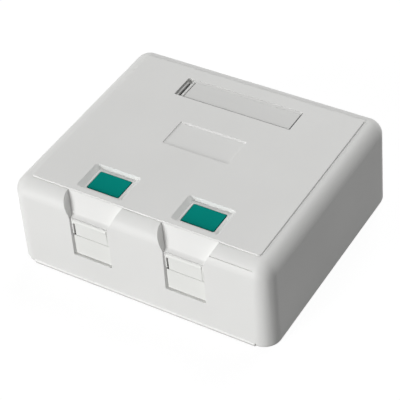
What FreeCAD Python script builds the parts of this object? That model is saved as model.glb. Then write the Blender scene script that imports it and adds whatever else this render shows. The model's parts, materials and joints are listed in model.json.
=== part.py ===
import FreeCAD, Part
import math
import os

# Surface mount jack box with two ports. Millimetres, +Z up, ports towards -Y.
# The origin is the middle of the footprint, on the mounting plane.

# Outer form of the cover
WIDTH = 86.0
DEPTH = 74.4
HEIGHT = 30.4
DRAFT_DEG = 1.0
WALL = 1.8
EDGE_RADIUS = 4.8
CORNER_SPARE = 0.2
PAD_RISE = 0.45
PAD_INSET = 0.1
PAD_CORNER = 0.8
PAD_EDGE = 0.15

# Lip along the foot of the front wall, and the witness line beside the right port
FOOT_LIP = 0.4
FOOT_LIP_EDGE = 0.1
WITNESS_LEFT = 22.8
WITNESS_RIGHT = 37.3
WITNESS_DROP = 2.0
WITNESS_RADIUS = 0.16

# Base plate
FLANGE_THICKNESS = 0.8
FLANGE_INSET = 0.3
FLOOR_THICKNESS = 2.0
RIM_WALL = 1.2
RIM_RISE = 2.6
RIM_CLEARANCE = 0.25

# Wall screws and cable entry through the base
WALL_SCREW_SPACING = 60.3
WALL_SCREW_Y = 0.0
WALL_SCREW_HOLE_RADIUS = 2.1
WALL_SCREW_PAD_RADIUS = 4.5
WALL_SCREW_PAD_RISE = 1.2
CABLE_HOLE_WIDTH = 21.0
CABLE_HOLE_LENGTH = 14.5
CABLE_HOLE_CORNER = 3.0
CABLE_HOLE_Y = 12.5
TIE_BRIDGE_WIDTH = 8.0
TIE_BRIDGE_LENGTH = 2.5
TIE_BRIDGE_HEIGHT = 3.6
TIE_BRIDGE_BAR = 1.3
TIE_BRIDGE_FOOT = 1.6
TIE_BRIDGE_Y = 6.5

# Knock-out panel, marked by a groove inside the back wall
KNOCKOUT_WIDTH = 14.0
KNOCKOUT_HEIGHT = 11.0
KNOCKOUT_GROOVE = 0.9
KNOCKOUT_SKIN = 0.7
KNOCKOUT_BOTTOM = 4.5

# Ports in the front wall
PORT_OFFSET = 15.65
PORT_WIDTH = 13.1
PORT_BOTTOM = 9.75
PORT_TOP = 23.6
PORT_LIP = 0.2
PORT_RECESS = 0.6
PORT_TAPER = 0.35
EAR_BOTTOM = 17.7
EAR_FACE = 0.4
EAR_SLOT = 0.7
EAR_THICKNESS = 0.45
EAR_RELIEF = 0.6
EAR_RELIEF_MARGIN = 0.4
PORT_FRAME = 0.85
PORT_FRAME_DEPTH = 3.3
FLAP_STOP = 0.35

# Dust flap and its hinge
FLAP_THICKNESS = 1.2
FLAP_SIDE_CLEARANCE = 0.1
FLAP_END_CLEARANCE = 0.2
FLAP_SET_BACK = 0.05
FLAP_TOP_GAP = 0.25
NECK_PROUD = 0.15
NECK_BOTTOM = 17.55
NECK_GROOVE = 0.3
NECK_GROOVE_DEPTH = 0.35
BARREL_RADIUS = 0.85
BARREL_CLEARANCE = 0.1
PIN_RADIUS = 0.55
PIN_CLEARANCE = 0.07
PIN_LENGTH = 0.9
PIN_MOUTH = 1.0

# Finger scoops above the ports
SCOOP_TOP_WIDTH = 18.4
SCOOP_THROAT = 24.3
SCOOP_FOOT_DEPTH = 1.45
SCOOP_FOOT_ROUND = 1.0
SCOOP_HEAD_MARGIN = 0.1

# Icon pockets and inserts
ICON_WIDTH = 10.5
ICON_LENGTH = 7.3
ICON_THICKNESS = 1.3
ICON_DROP = 1.0
ICON_CORNER = 0.2
ICON_CLEARANCE = 0.25
POCKET_MARGIN = 1.88
POCKET_WIDTH = 15.5
POCKET_LENGTH = 10.8
POCKET_DEPTH = 1.2
POCKET_SIDE_SLOPE = 1.55
POCKET_END_SLOPE = 0.3
POCKET_CORNER = 1.0
POCKET_FLOOR_CORNER = 0.6
POCKET_BACKING = 1.3

# Label recess, card and window
LABEL_LEFT = -19.9
LABEL_RIGHT = 19.65
LABEL_MARGIN = 4.78
LABEL_LENGTH = 8.7
LABEL_CORNER = 0.3
NAIL_SLOT_DEPTH = 1.0
NAIL_SLOT_LENGTH = 0.5
END_SLOT_LENGTH = 0.5
END_SLOT_DEPTH = 2.6
CARD_THICKNESS = 0.3
CARD_BACK_MARGIN = 1.5
CARD_CLEARANCE = 0.3
CARD_SKEW = 0.7
WINDOW_THICKNESS = 1.1
WINDOW_DROP = 0.2
WINDOW_CLEARANCE = 0.35
WINDOW_LIFT_GAP = 1.1
WINDOW_BACK_GAP = 0.9
WINDOW_BEVEL = 0.6
WINDOW_BEVEL_DROP = 0.5
WINDOW_GROOVE = 0.3
WINDOW_GROOVE_X = 1.15

# Bare plate recess on the pad
PLATE_WIDTH = 22.2
PLATE_LENGTH = 11.0
PLATE_DEPTH = 0.3
PLATE_BACK_SLOPE = 0.5
PLATE_Y = 2.5
PLATE_CORNER = 0.5

# Cover screws, hidden under the card, and their posts
COVER_SCREW_OFFSET = 14.0
COVER_SCREW_BACK = 4.0
SCREW_HEAD_RADIUS = 2.7
SCREW_HEAD_HEIGHT = 1.7
SCREW_SHANK_RADIUS = 1.45
SCREW_LENGTH = 13.0
SCREW_POINT = 1.2
SCREW_TIP_RADIUS = 0.2
SCREW_CROSS_WIDTH = 0.6
SCREW_CROSS_LENGTH = 3.0
SCREW_CROSS_DEPTH = 0.9
SCREW_HOLE_CLEARANCE = 0.25
SCREW_THREAD_CLEARANCE = 0.08
SCREW_HEAD_CLEARANCE = 0.3
SCREW_HEAD_DROP = 0.3
SCREW_SEAT = 2.2
SCREW_BOSS_RADIUS = 4.2
BOSS_RIB_THICKNESS = 1.2
POST_RADIUS = 3.4
POST_GAP = 0.2
POST_BORE_SPARE = 3.0
GUSSET_THICKNESS = 1.2
GUSSET_REACH = 3.0
GUSSET_HEIGHT = 12.0

# Jack housing
JACK_GAP = 0.5
JACK_WIDTH = 14.8
JACK_LENGTH = 17.0
JACK_HEIGHT = 14.5
JACK_EDGE = 0.4
SOCKET_WIDTH = 11.9
SOCKET_HEIGHT = 7.0
SOCKET_DEPTH = 15.5
SOCKET_FLOOR = 3.2
LATCH_WIDTH = 6.2
LATCH_HEIGHT = 1.3
LATCH_TOP_WIDTH = 3.8
LATCH_TOP_HEIGHT = 1.5
LATCH_DEPTH = 9.0
PEG_RADIUS = 1.3
PEG_CLEARANCE = 0.1
PEG_SPREAD = 4.6
PEG_SET_BACK = 5.0

# Jack contacts
CONTACT_COUNT = 8
CONTACT_PITCH = 1.02
CONTACT_WIDTH = 0.35
CONTACT_THICKNESS = 0.3
CONTACT_SLOT_CLEARANCE = 0.1
CONTACT_RAIL_DROP = 0.7
CONTACT_BEND_BACK = 1.3
CONTACT_BEND_HEIGHT = 0.8
CONTACT_TIP_BACK = 10.7
CONTACT_TIP_RISE = 2.2
CONTACT_TAIL_BACK = 12.7
CONTACT_TAIL_STAGGER = 1.6
TAIL_DROP = 0.8

# Jack board
BOARD_THICKNESS = 1.6
BOARD_SIDE_CLEARANCE = 0.2
BOARD_FRONT_SET_BACK = 1.7
BOARD_REAR_MARGIN = 0.2
BOARD_HOLE_CLEARANCE = 0.1
BOARD_RISE = 3.4

# Terminal block, blades and wire cap
BLOCK_GAP = 1.6
BLOCK_LENGTH = 11.2
BLOCK_WIDTH = 14.4
BLOCK_HEIGHT = 10.0
TROUGH_WIDTH = 4.8
TROUGH_FLOOR = 4.0
TERMINALS_PER_ROW = 4
TERMINAL_PITCH = 2.6
TERMINAL_SLOT = 1.1
TERMINAL_SLOT_FLOOR = 5.5
BLADE_OFFSET = 4.8
BLADE_WIDTH = 2.1
BLADE_THICKNESS = 0.4
BLADE_FOOT = 2.0
BLADE_TOP_DROP = 1.5
BLADE_SLIT = 0.35
BLADE_TAIL_WIDTH = 0.6
BLADE_CLEARANCE = 0.05
CAP_THICKNESS = 1.5
CAP_SIDE_CLEARANCE = 0.1
CAP_SKIRT = 0.8
CAP_SKIRT_LENGTH = 4.5
CAP_RIB_WIDTH = 0.8
CAP_RIB_LENGTH = 1.3
CAP_RIB_DROP = 1.1
CAP_SLOT = 1.3
CAP_SLOT_HEIGHT = 3.0

# Cradles on the base that hold the jacks
CRADLE_CLEARANCE = 0.15
CRADLE_WALL = 1.3
CRADLE_HEIGHT = 7.5
CRADLE_FRONT_BACK = 2.2
CRADLE_REAR_SHORT = 3.0
SEAT_RIB_LENGTH = 1.5
SEAT_RIB_FRONT_WIDTH = 12.0
SEAT_RIB_REAR_WIDTH = 7.0
SEAT_RIB_FRONT_BACK = 5.2
SEAT_RIB_REAR_BACK = 24.2
STOP_WIDTH = 10.0
STOP_LENGTH = 1.2
STOP_HEIGHT = 5.4
FINGER_LENGTH = 6.0
FINGER_BACK = 6.2
FINGER_HEIGHT = 13.8
HOOK_REACH = 0.6
HOOK_HEIGHT = 1.6
HOOK_TOP_DROP = 0.9
NOTCH_CLEARANCE = 0.15

# Derived places
SLOPE = math.tan(math.radians(DRAFT_DEG))
HALF_X = WIDTH / 2
HALF_Y = DEPTH / 2
SHELL_TOP = HEIGHT - PAD_RISE
CORNER_RADIUS = EDGE_RADIUS + CORNER_SPARE
FOOT_CORNER = CORNER_RADIUS + SHELL_TOP * SLOPE
PAD_SET_IN = SHELL_TOP * SLOPE + EDGE_RADIUS + PAD_INSET
PAD_FRONT = PAD_SET_IN - HALF_Y
PAD_BACK = HALF_Y - PAD_SET_IN
ICON_Y = PAD_FRONT + POCKET_MARGIN + POCKET_LENGTH / 2
LABEL_BACK = PAD_BACK - LABEL_MARGIN
LABEL_FRONT = LABEL_BACK - LABEL_LENGTH
COVER_SCREW_Y = LABEL_FRONT + COVER_SCREW_BACK
PORT_MIDDLE = (PORT_BOTTOM + PORT_TOP) / 2
FRONT_Y = -(HALF_Y - PORT_MIDDLE * SLOPE)
EAR_Y = FRONT_Y + PORT_RECESS
NECK_FRONT = EAR_Y + FLAP_SET_BACK - NECK_PROUD
HINGE_Y = NECK_FRONT + BARREL_RADIUS
FLAP_TOP = PORT_TOP - PORT_LIP - FLAP_TOP_GAP
HINGE_Z = FLAP_TOP - BARREL_RADIUS
RELIEF_TOP = HINGE_Z - PIN_RADIUS - EAR_RELIEF_MARGIN
FRAME_BACK_Y = FRONT_Y + PORT_FRAME_DEPTH
MOUTH_HALF = PORT_WIDTH / 2
THROAT_HALF = MOUTH_HALF - PORT_TAPER
UPPER_HALF = THROAT_HALF - EAR_FACE
NECK_LEFT = EAR_SLOT - UPPER_HALF
NECK_RIGHT = UPPER_HALF - FLAP_SIDE_CLEARANCE
PANEL_HALF = THROAT_HALF - FLAP_SIDE_CLEARANCE
FRAME_HALF = MOUTH_HALF + PORT_FRAME
JACK_FRONT = FRAME_BACK_Y + JACK_GAP
BOARD_BOTTOM = FLOOR_THICKNESS + BOARD_RISE
BOARD_TOP = BOARD_BOTTOM + BOARD_THICKNESS
SOCKET_BOTTOM = BOARD_TOP + SOCKET_FLOOR
JACK_REAR = JACK_FRONT + JACK_LENGTH
BLOCK_FRONT = JACK_REAR + BLOCK_GAP
BLOCK_REAR = BLOCK_FRONT + BLOCK_LENGTH
BLOCK_TOP = BOARD_TOP + BLOCK_HEIGHT
BOARD_FRONT = JACK_FRONT + BOARD_FRONT_SET_BACK
BOARD_REAR = BLOCK_REAR + BOARD_REAR_MARGIN
BOARD_HALF = JACK_WIDTH / 2 - BOARD_SIDE_CLEARANCE
TAIL_BOTTOM = BOARD_BOTTOM - TAIL_DROP
CARD_BOTTOM = HEIGHT - WINDOW_DROP - WINDOW_THICKNESS - CARD_THICKNESS
SCREW_SEAT_Z = CARD_BOTTOM - SCREW_HEAD_DROP - SCREW_HEAD_HEIGHT
COVER_BOSS_BOTTOM = SCREW_SEAT_Z - SCREW_SEAT
POST_TOP = COVER_BOSS_BOTTOM - POST_GAP
ICON_TOP = HEIGHT - ICON_DROP
ICON_BOTTOM = ICON_TOP - ICON_THICKNESS
FAR = 5.0
NEAR = 0.01
QUARTER_TURN = 90
HALF_QUARTER_TURN = QUARTER_TURN / 2

SIDES = {"left": -1, "right": 1}


def vec(x, y, z):
    return FreeCAD.Vector(x, y, z)


def box(x0, x1, y0, y1, z0, z1):
    return Part.makeBox(x1 - x0, y1 - y0, z1 - z0, vec(x0, y0, z0))


def middle_box(half, y0, y1, z0, z1, x=0.0):
    """Box centred on x, half wide each way."""
    return box(x - half, x + half, y0, y1, z0, z1)


def post(radius, x, y, z0, z1):
    return Part.makeCylinder(radius, z1 - z0, vec(x, y, z0), vec(0, 0, 1))


def cross_pin(radius, x0, x1, y, z):
    """Cylinder along X."""
    return Part.makeCylinder(radius, x1 - x0, vec(x0, y, z), vec(1, 0, 0))


def profile_yz(points, x0, x1):
    """Solid with a closed outline in Y and Z, drawn out along X."""
    corners = [vec(x0, y, z) for y, z in points]
    face = Part.Face(Part.makePolygon(corners + corners[:1]))
    return face.extrude(vec(x1 - x0, 0, 0))


def profile_xz(points, y0, y1):
    """Solid with a closed outline in X and Z, drawn out along Y."""
    corners = [vec(x, y0, z) for x, z in points]
    face = Part.Face(Part.makePolygon(corners + corners[:1]))
    return face.extrude(vec(0, y1 - y0, 0))


def profile_xy(points, z0, z1):
    """Solid with a closed outline in X and Y, drawn up along Z."""
    corners = [vec(x, y, z0) for x, y in points]
    face = Part.Face(Part.makePolygon(corners + corners[:1]))
    return face.extrude(vec(0, 0, z1 - z0))


def rounded_wire(half_x, half_y, radius, z, x=0.0, y=0.0):
    """Closed rectangle with round corners, centred on x, y."""
    edges = []
    arcs = []
    for index, (sx, sy) in enumerate(((1, 1), (-1, 1), (-1, -1), (1, -1))):
        start = index * QUARTER_TURN
        middle = vec(x + sx * (half_x - radius), y + sy * (half_y - radius), z)
        points = []
        for angle in (start, start + HALF_QUARTER_TURN, start + QUARTER_TURN):
            a = math.radians(angle)
            points.append(middle + vec(radius * math.cos(a), radius * math.sin(a), 0))
        arcs.append(points)
    for index, points in enumerate(arcs):
        following = arcs[(index + 1) % len(arcs)]
        edges.append(Part.Arc(*points).toShape())
        edges.append(Part.LineSegment(points[2], following[0]).toShape())
    return Part.Wire(edges)


def rounded_prism(half_x, half_y, radius, z0, z1, x=0.0, y=0.0):
    wire = rounded_wire(half_x, half_y, radius, z0, x, y)
    return Part.Face(wire).extrude(vec(0, 0, z1 - z0))


def union(shapes):
    return shapes[0].fuse(shapes[1:]).removeSplitter() if len(shapes) > 1 else shapes[0]


def top_edges(solid, z):
    return [e for e in solid.Edges if min(v.Z for v in e.Vertexes) > z - NEAR]


def drafted_form(inset, z0, z1, corner, edge):
    """Body with drafted walls, conical corners and a rounded top edge, inset from the walls."""
    narrowing = inset + corner + z1 * SLOPE
    x, y = HALF_X - narrowing, HALF_Y - narrowing
    foot = corner + (z1 - z0) * SLOPE
    pieces = []
    for maker, along, across in ((profile_yz, x, y), (profile_xz, y, x)):
        outline = [(-across - foot, z0), (across + foot, z0), (across + corner, z1),
                   (-across - corner, z1)]
        pieces.append(maker(outline, -along, along))
    for corner_x in (-x, x):
        for corner_y in (-y, y):
            pieces.append(Part.makeCone(foot, corner, z1 - z0, vec(corner_x, corner_y, z0)))
    solid = union(pieces)
    return solid.makeFillet(edge, top_edges(solid, z1))


def moved(shape, x):
    copy = shape.copy()
    copy.translate(vec(x, 0, 0))
    return copy


def save(name, shape):
    shape.exportStep(os.path.join("parts", name + ".step"))


def port_centres():
    return {name: side * PORT_OFFSET for name, side in SIDES.items()}


def cover_screw_centres():
    return {name: side * COVER_SCREW_OFFSET for name, side in SIDES.items()}


def scoop(x, margin):
    """Finger recess above a port; a margin gives the wall that backs it."""
    foot = FRONT_Y + SCOOP_FOOT_DEPTH
    head = PAD_FRONT - SCOOP_HEAD_MARGIN
    lean = math.atan2(head - foot, SHELL_TOP - PORT_TOP)
    shift = margin / math.cos(lean)
    reach = FAR * math.tan(lean)
    side = [
        (FRONT_Y - FAR, PORT_TOP),
        (foot + shift, PORT_TOP),
        (head + shift + reach, SHELL_TOP + FAR),
        (FRONT_Y - FAR, SHELL_TOP + FAR),
    ]
    throat = MOUTH_HALF + margin
    top = SCOOP_TOP_WIDTH / 2 + margin
    widening = (top - throat) / (SHELL_TOP - SCOOP_THROAT)
    far_top = top + widening * FAR
    front = [
        (x - throat, PORT_TOP),
        (x + throat, PORT_TOP),
        (x + throat, SCOOP_THROAT),
        (x + far_top, SHELL_TOP + FAR),
        (x - far_top, SHELL_TOP + FAR),
        (x - throat, SCOOP_THROAT),
    ]
    span = SCOOP_TOP_WIDTH
    wedge = profile_yz(side, x - span, x + span)
    root = [e for e in wedge.Edges
            if all(abs(v.Z - PORT_TOP) < NEAR and v.Y > FRONT_Y for v in e.Vertexes)]
    wedge = wedge.makeFillet(SCOOP_FOOT_ROUND + margin, root)
    return wedge.common(profile_xz(front, FRONT_Y - 2 * FAR, FRONT_Y + 3 * FAR))


def port_frame(x):
    """Frame behind the front wall that stiffens a port and carries the flap."""
    return middle_box(FRAME_HALF, EAR_Y, FRAME_BACK_Y, PORT_BOTTOM - PORT_FRAME,
                      PORT_TOP + PORT_FRAME, x)


def port_opening(x):
    """Everything that is cut for a port: recess, flap bay, plug way and hinge holes."""
    stop_y = EAR_Y + FLAP_SET_BACK + FLAP_THICKNESS + BARREL_CLEARANCE
    through = FRAME_BACK_Y + FAR
    outline = [
        (x - THROAT_HALF, EAR_Y),
        (x - MOUTH_HALF, FRONT_Y),
        (x - MOUTH_HALF, FRONT_Y - FAR),
        (x + MOUTH_HALF, FRONT_Y - FAR),
        (x + MOUTH_HALF, FRONT_Y),
        (x + THROAT_HALF, EAR_Y),
    ]
    recess = profile_xy(outline, PORT_BOTTOM, PORT_TOP)
    bay = middle_box(THROAT_HALF, EAR_Y, stop_y, PORT_BOTTOM, EAR_BOTTOM, x)
    plug_way = middle_box(THROAT_HALF - FLAP_STOP, stop_y, through, PORT_BOTTOM,
                          EAR_BOTTOM, x)
    neck_bay = middle_box(UPPER_HALF, EAR_Y, through, EAR_BOTTOM, PORT_TOP - PORT_LIP, x)
    relief = middle_box(UPPER_HALF + EAR_RELIEF, EAR_Y + EAR_THICKNESS, through, EAR_BOTTOM,
                        RELIEF_TOP, x)
    pin_half = UPPER_HALF + PIN_LENGTH
    pins = cross_pin(PIN_RADIUS + PIN_CLEARANCE, x - pin_half, x + pin_half,
                     HINGE_Y, HINGE_Z)
    mouth = middle_box(pin_half, HINGE_Y, through, HINGE_Z - PIN_MOUTH / 2,
                       HINGE_Z + PIN_MOUTH / 2, x)
    return union([recess, bay, plug_way, neck_bay, relief, pins, mouth])


def icon_pocket(x):
    """Sloped pocket with a straight seat for the insert."""
    rim = rounded_wire(POCKET_WIDTH / 2, POCKET_LENGTH / 2, POCKET_CORNER,
                       HEIGHT, x, ICON_Y)
    floor = rounded_wire(POCKET_WIDTH / 2 - POCKET_SIDE_SLOPE,
                         POCKET_LENGTH / 2 - POCKET_END_SLOPE,
                         POCKET_FLOOR_CORNER, HEIGHT - POCKET_DEPTH, x, ICON_Y)
    bowl = Part.makeLoft([floor, rim], True, True)
    seat = rounded_prism(ICON_WIDTH / 2 + ICON_CLEARANCE, ICON_LENGTH / 2 + ICON_CLEARANCE,
                         ICON_CORNER + ICON_CLEARANCE, ICON_BOTTOM, HEIGHT, x, ICON_Y)
    return union([bowl, seat])


def icon_backing(x):
    return rounded_prism(POCKET_WIDTH / 2 + WALL, POCKET_LENGTH / 2 + WALL, POCKET_CORNER,
                         ICON_BOTTOM - POCKET_BACKING, SHELL_TOP, x, ICON_Y)


def label_block(x0, x1, depth, margin):
    """Block of the label recess from x0 to x1, down to a depth below the pad."""
    half_x = (x1 - x0) / 2 + margin
    half_y = (LABEL_BACK - LABEL_FRONT) / 2 + margin
    return rounded_prism(half_x, half_y, LABEL_CORNER + margin, HEIGHT - depth - margin,
                         HEIGHT + FAR, (x0 + x1) / 2, (LABEL_FRONT + LABEL_BACK) / 2)


def label_recess(margin=0.0):
    deep = label_block(LABEL_LEFT + NAIL_SLOT_LENGTH, LABEL_RIGHT, HEIGHT - CARD_BOTTOM, margin)
    nail_slot = label_block(LABEL_LEFT, LABEL_RIGHT, NAIL_SLOT_DEPTH, margin)
    end_slot = box(LABEL_RIGHT - END_SLOT_LENGTH - margin, LABEL_RIGHT + margin,
                   LABEL_FRONT + LABEL_CORNER - margin, LABEL_BACK - LABEL_CORNER + margin,
                   HEIGHT - END_SLOT_DEPTH - margin, CARD_BOTTOM)
    return union([deep, nail_slot, end_slot])


def plate_recess():
    """Shallow recess with a sloped back wall and a bare floor."""
    half_x, half_y = PLATE_WIDTH / 2, PLATE_LENGTH / 2
    shift = PLATE_BACK_SLOPE / 2
    rim = rounded_wire(half_x, half_y, PLATE_CORNER, HEIGHT, 0, PLATE_Y)
    floor = rounded_wire(half_x, half_y - shift, PLATE_CORNER, HEIGHT - PLATE_DEPTH, 0,
                         PLATE_Y - shift)
    return Part.makeLoft([floor, rim], True, True)


def foot_lip():
    """Lip between the corners at the foot of the front wall, sloped on top."""
    half = HALF_X - FOOT_CORNER
    bottom = FLANGE_THICKNESS
    wall = -(HALF_Y - bottom * SLOPE)
    outline = [
        (wall + WALL / 2, bottom),
        (wall - FOOT_LIP, bottom),
        (wall - FOOT_LIP, bottom + FOOT_LIP_EDGE),
        (wall, bottom + FOOT_LIP_EDGE + FOOT_LIP),
        (wall + WALL / 2, bottom + FOOT_LIP_EDGE + FOOT_LIP),
    ]
    return profile_yz(outline, -half, half)


def witness_line():
    """Fine line on the rounded front edge, between the right port and the corner."""
    z = SHELL_TOP - WITNESS_DROP
    rise = EDGE_RADIUS - WITNESS_DROP
    middle = PAD_FRONT - PAD_INSET
    y = middle - math.sqrt(EDGE_RADIUS ** 2 - rise ** 2)
    return cross_pin(WITNESS_RADIUS, WITNESS_LEFT, WITNESS_RIGHT, y, z)


def knockout_groove():
    """Ring-shaped groove inside the back wall that leaves a thin skin."""
    skin_y = HALF_Y - (KNOCKOUT_BOTTOM + KNOCKOUT_HEIGHT) * SLOPE - KNOCKOUT_SKIN
    top = KNOCKOUT_BOTTOM + KNOCKOUT_HEIGHT
    outer = middle_box(KNOCKOUT_WIDTH / 2, skin_y - WALL, skin_y, KNOCKOUT_BOTTOM, top)
    island = middle_box(KNOCKOUT_WIDTH / 2 - KNOCKOUT_GROOVE, skin_y - WALL, skin_y,
                        KNOCKOUT_BOTTOM + KNOCKOUT_GROOVE, top - KNOCKOUT_GROOVE)
    return outer.cut(island)


def make_cover():
    outer = drafted_form(0, FLANGE_THICKNESS, SHELL_TOP, CORNER_RADIUS, EDGE_RADIUS)
    pad = rounded_prism(HALF_X - PAD_SET_IN, HALF_Y - PAD_SET_IN, PAD_CORNER,
                        SHELL_TOP - WALL / 2, HEIGHT)
    pad = pad.makeChamfer(PAD_EDGE, top_edges(pad, HEIGHT))
    cavity = drafted_form(WALL, FLANGE_THICKNESS - WALL, SHELL_TOP - WALL,
                          CORNER_RADIUS - WALL, EDGE_RADIUS - WALL)
    backing = [label_recess(WALL)]
    openings = [label_recess()]
    for x in port_centres().values():
        backing += [scoop(x, WALL), port_frame(x), icon_backing(x)]
        openings += [scoop(x, 0), port_opening(x), icon_pocket(x)]
    for x in cover_screw_centres().values():
        hole = SCREW_SHANK_RADIUS + SCREW_HOLE_CLEARANCE
        head = SCREW_HEAD_RADIUS + SCREW_HEAD_CLEARANCE
        backing.append(post(SCREW_BOSS_RADIUS, x, COVER_SCREW_Y, COVER_BOSS_BOTTOM, SHELL_TOP))
        backing.append(middle_box(BOSS_RIB_THICKNESS / 2, COVER_SCREW_Y, HALF_Y,
                                  COVER_BOSS_BOTTOM, SHELL_TOP, x))
        openings.append(post(hole, x, COVER_SCREW_Y, COVER_BOSS_BOTTOM - FAR, HEIGHT))
        openings.append(post(head, x, COVER_SCREW_Y, SCREW_SEAT_Z, HEIGHT))
    openings += [plate_recess(), knockout_groove(), witness_line()]
    shell = union([outer, pad, foot_lip()]).cut(cavity.cut(backing))
    return shell.cut(openings)


def make_flap():
    """Dust flap at x = 0: lower panel, neck with a slot at its left, barrel and two pins."""
    panel_y = EAR_Y + FLAP_SET_BACK
    back_y = panel_y + FLAP_THICKNESS
    panel = middle_box(PANEL_HALF, panel_y, back_y, PORT_BOTTOM + FLAP_END_CLEARANCE, NECK_BOTTOM)
    neck = box(NECK_LEFT, NECK_RIGHT, NECK_FRONT, back_y, NECK_BOTTOM, HINGE_Z)
    barrel_half = UPPER_HALF - BARREL_CLEARANCE
    barrel = cross_pin(BARREL_RADIUS, -barrel_half, barrel_half, HINGE_Y, HINGE_Z)
    pin_half = UPPER_HALF + PIN_LENGTH - BARREL_CLEARANCE
    pins = cross_pin(PIN_RADIUS, -pin_half, pin_half, HINGE_Y, HINGE_Z)
    groove = middle_box(PANEL_HALF, NECK_FRONT, panel_y + NECK_GROOVE_DEPTH,
                        NECK_BOTTOM - NECK_GROOVE, NECK_BOTTOM)
    return union([panel, neck, barrel, pins]).cut(groove)


def make_icon():
    return rounded_prism(ICON_WIDTH / 2, ICON_LENGTH / 2, ICON_CORNER, ICON_BOTTOM, ICON_TOP,
                         0, ICON_Y)


def make_label_card():
    """Card whose back edge runs slightly askew."""
    left = LABEL_LEFT + NAIL_SLOT_LENGTH + WINDOW_LIFT_GAP
    right = LABEL_RIGHT - END_SLOT_LENGTH
    front = LABEL_FRONT + CARD_CLEARANCE
    back = LABEL_BACK - CARD_BACK_MARGIN
    corners = [vec(left, front, CARD_BOTTOM), vec(right, front, CARD_BOTTOM),
               vec(right, back - CARD_SKEW, CARD_BOTTOM), vec(left, back, CARD_BOTTOM)]
    face = Part.Face(Part.makePolygon(corners + corners[:1]))
    return face.extrude(vec(0, 0, CARD_THICKNESS))


def make_label_window():
    left = LABEL_LEFT + NAIL_SLOT_LENGTH + WINDOW_LIFT_GAP
    right = LABEL_RIGHT - WINDOW_CLEARANCE
    front = LABEL_FRONT + WINDOW_CLEARANCE
    back = LABEL_BACK - WINDOW_BACK_GAP
    top = HEIGHT - WINDOW_DROP
    bottom = top - WINDOW_THICKNESS
    outline = [
        (left, bottom),
        (right, bottom),
        (right, top),
        (left + WINDOW_BEVEL, top),
        (left, top - WINDOW_BEVEL_DROP),
    ]
    groove_x = left + WINDOW_GROOVE_X
    groove = box(groove_x, groove_x + WINDOW_GROOVE, front, back, top - WINDOW_GROOVE, top)
    return profile_xz(outline, front, back).cut(groove)


def make_cover_screw():
    head_top = SCREW_SEAT_Z + SCREW_HEAD_HEIGHT
    end = SCREW_SEAT_Z - SCREW_LENGTH
    head = post(SCREW_HEAD_RADIUS, 0, COVER_SCREW_Y, SCREW_SEAT_Z, head_top)
    shank = post(SCREW_SHANK_RADIUS, 0, COVER_SCREW_Y, end + SCREW_POINT, SCREW_SEAT_Z)
    point = Part.makeCone(SCREW_TIP_RADIUS, SCREW_SHANK_RADIUS, SCREW_POINT,
                          vec(0, COVER_SCREW_Y, end))
    half, arm = SCREW_CROSS_WIDTH / 2, SCREW_CROSS_LENGTH / 2
    floor = head_top - SCREW_CROSS_DEPTH
    cross = [
        middle_box(arm, COVER_SCREW_Y - half, COVER_SCREW_Y + half, floor, head_top),
        middle_box(half, COVER_SCREW_Y - arm, COVER_SCREW_Y + arm, floor, head_top),
    ]
    return union([head, shank, point]).cut(cross)


def contact_places():
    """X of each contact and how far its tail is set back."""
    middle = (CONTACT_COUNT - 1) / 2
    for index in range(CONTACT_COUNT):
        tail_y = JACK_FRONT + CONTACT_TAIL_BACK + (index % 2) * CONTACT_TAIL_STAGGER
        yield (index - middle) * CONTACT_PITCH, tail_y


def peg_places():
    for side in SIDES.values():
        yield side * PEG_SPREAD, JACK_FRONT + PEG_SET_BACK


def hook_span():
    """Y range of the cradle's snap finger."""
    front = JACK_FRONT + FINGER_BACK
    return front, front + FINGER_LENGTH


def hook_levels():
    top = FLOOR_THICKNESS + FINGER_HEIGHT - HOOK_TOP_DROP
    return top - HOOK_HEIGHT, top


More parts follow.
